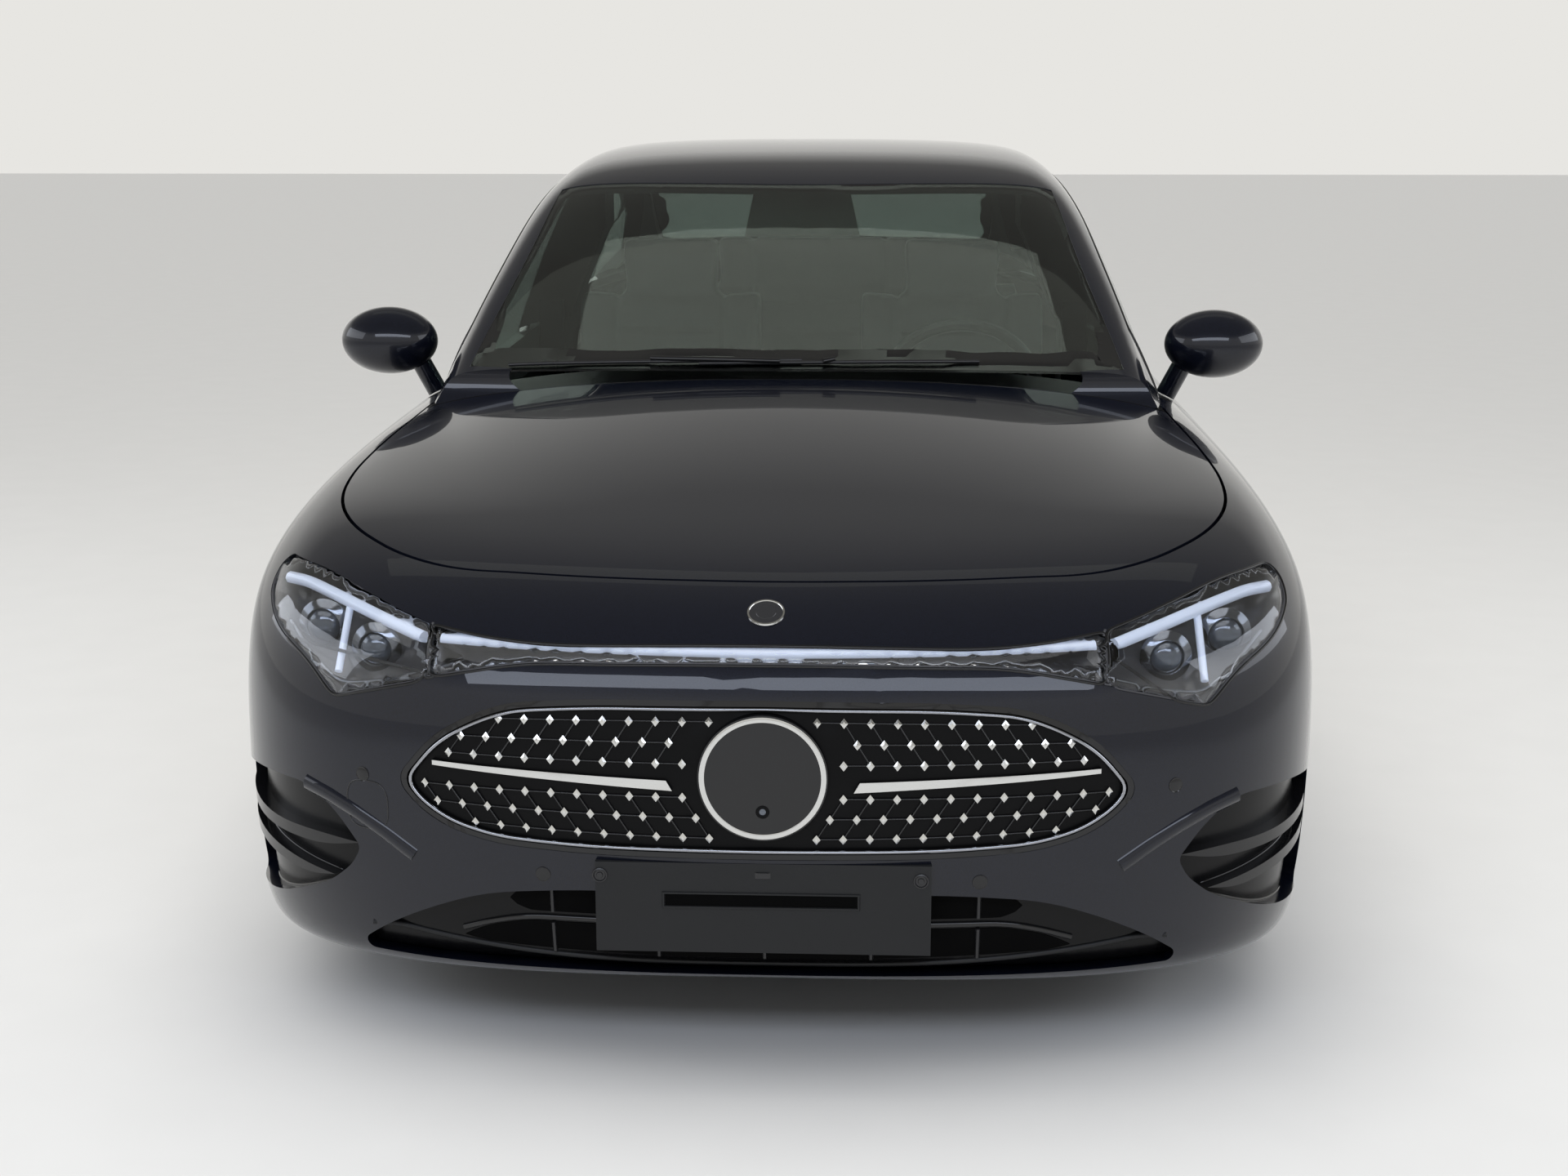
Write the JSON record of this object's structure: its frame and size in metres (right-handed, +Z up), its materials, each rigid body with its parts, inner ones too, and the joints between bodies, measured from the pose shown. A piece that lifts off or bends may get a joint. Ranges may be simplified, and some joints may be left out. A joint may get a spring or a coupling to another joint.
{
  "type": "sedan car",
  "caption": "Four-door fastback electric sedan with opening doors, bonnet and boot lid, steered front wheels and a furnished cabin.",
  "frame": {"origin": "on the ground, halfway along and across the car", "axes": "+Z up, the nose points to -Y, the car's left side is +X"},
  "size_m": [2.021, 4.7229, 1.468],
  "materials": {
    "alloy": "bright machined over dark grey",
    "black_trim": "gloss black",
    "cabin_trim": "soft grained",
    "dark_plastic": "grained dark grey",
    "lens": "clear lens",
    "paint": "deep metallic blue-black, clear coated",
    "red_lens": "red lens",
    "rubber": "matt",
    "satin_trim": "satin",
    "steel": "plain",
    "tinted_glass": "tinted",
    "upholstery": "soft grained"
  },
  "bodies": {
    "body": {"front_bumper": "paint", "nose_panel": "paint", "front_lamps": "lens", "grille": "black_trim", "lower_intake": "black_trim", "air_curtains": "black_trim", "fender_left": "paint", "fender_right": "paint", "side_frame_left": "paint", "side_frame_right": "paint", "roof_panel": "paint", "windscreen": "tinted_glass", "rear_window": "tinted_glass", "quarter_windows": "tinted_glass", "cowl_panel": "dark_plastic", "rear_deck": "paint", "rear_bumper": "paint", "tail_lamps": "red_lens", "floor_pan": "steel", "wheel_liners": "dark_plastic", "battery_pack": "steel", "rear_drive_unit": "satin_trim", "rear_axle": "steel", "front_axle": "steel", "front_trunk_tub": "dark_plastic", "dashboard": "cabin_trim", "front_seats": "upholstery", "rear_bench": "upholstery", "plate_carrier": "dark_plastic"},
    "hood": {"bonnet": "paint"},
    "lid": {"boot_lid": "paint", "lid_lamp": "red_lens"},
    "front_door_left": {"door_front_left": "paint", "window_front_left": "tinted_glass", "mirror_left": "paint"},
    "front_door_right": {"door_front_right": "paint", "window_front_right": "tinted_glass", "mirror_right": "paint"},
    "rear_door_left": {"door_rear_left": "paint", "window_rear_left": "tinted_glass"},
    "rear_door_right": {"door_rear_right": "paint", "window_rear_right": "tinted_glass"},
    "steer_left": {"knuckle_left": "steel"},
    "steer_right": {"knuckle_right": "steel"},
    "road_wheel_front_left": {"wheel_front_left": "alloy", "tyre_front_left": "rubber"},
    "road_wheel_front_right": {"wheel_front_right": "alloy", "tyre_front_right": "rubber"},
    "road_wheel_rear_left": {"wheel_rear_left": "alloy", "tyre_rear_left": "rubber"},
    "road_wheel_rear_right": {"wheel_rear_right": "alloy", "tyre_rear_right": "rubber"},
    "helm": {"steering_wheel": "cabin_trim"}
  },
  "joints": [
    {"name": "front_door_left_hinge", "type": "hinge", "parent": "body", "child": "front_door_left", "pos_m": [0.8995, -0.82934, 0.61656], "axis": [0.0698, 0, -0.9976], "range_deg": [0, 66]},
    {"name": "rear_door_left_hinge", "type": "hinge", "parent": "body", "child": "rear_door_left", "pos_m": [0.8995, 0.29782, 0.61656], "axis": [0.0698, 0, -0.9976], "range_deg": [0, 66]},
    {"name": "front_door_right_hinge", "type": "hinge", "parent": "body", "child": "front_door_right", "pos_m": [-0.8995, -0.82934, 0.61656], "axis": [0.0698, 0, 0.9976], "range_deg": [0, 66]},
    {"name": "rear_door_right_hinge", "type": "hinge", "parent": "body", "child": "rear_door_right", "pos_m": [-0.8995, 0.29782, 0.61656], "axis": [0.0698, 0, 0.9976], "range_deg": [0, 66]},
    {"name": "hood_hinge", "type": "hinge", "parent": "body", "child": "hood", "pos_m": [0, -1.17741, 0.98892], "axis": [-1, 0, 0], "range_deg": [0, 55]},
    {"name": "lid_hinge", "type": "hinge", "parent": "body", "child": "lid", "pos_m": [0, 1.9365, 1.09902], "axis": [1, 0, 0], "range_deg": [0, 72]},
    {"name": "steer_left_hinge", "type": "hinge", "parent": "body", "child": "steer_left", "pos_m": [0.748, -1.4915, 0.33], "axis": [0, 0, 1], "range_deg": [-34, 34]},
    {"name": "steer_right_hinge", "type": "hinge", "parent": "body", "child": "steer_right", "pos_m": [-0.748, -1.4915, 0.33], "axis": [0, 0, 1], "range_deg": [-34, 34]},
    {"name": "front_left_wheel_spin", "type": "hinge", "parent": "steer_left", "child": "road_wheel_front_left", "pos_m": [0.805, -1.4915, 0.33], "axis": [1, 0, 0], "continuous": true},
    {"name": "front_right_wheel_spin", "type": "hinge", "parent": "steer_right", "child": "road_wheel_front_right", "pos_m": [-0.805, -1.4915, 0.33], "axis": [1, 0, 0], "continuous": true},
    {"name": "rear_left_wheel_spin", "type": "hinge", "parent": "body", "child": "road_wheel_rear_left", "pos_m": [0.805, 1.2985, 0.33], "axis": [1, 0, 0], "continuous": true},
    {"name": "rear_right_wheel_spin", "type": "hinge", "parent": "body", "child": "road_wheel_rear_right", "pos_m": [-0.805, 1.2985, 0.33], "axis": [1, 0, 0], "continuous": true},
    {"name": "helm_turn", "type": "hinge", "parent": "body", "child": "helm", "pos_m": [0.371, -0.52895, 0.88814], "axis": [0, 0.9135, 0.4067], "range_deg": [-459, 459]}
  ],
  "couplings": [
    {"joint": "steer_right_hinge", "follows": "steer_left_hinge", "ratio": 1},
    {"joint": "helm_turn", "follows": "steer_left_hinge", "ratio": 13.5}
  ]
}
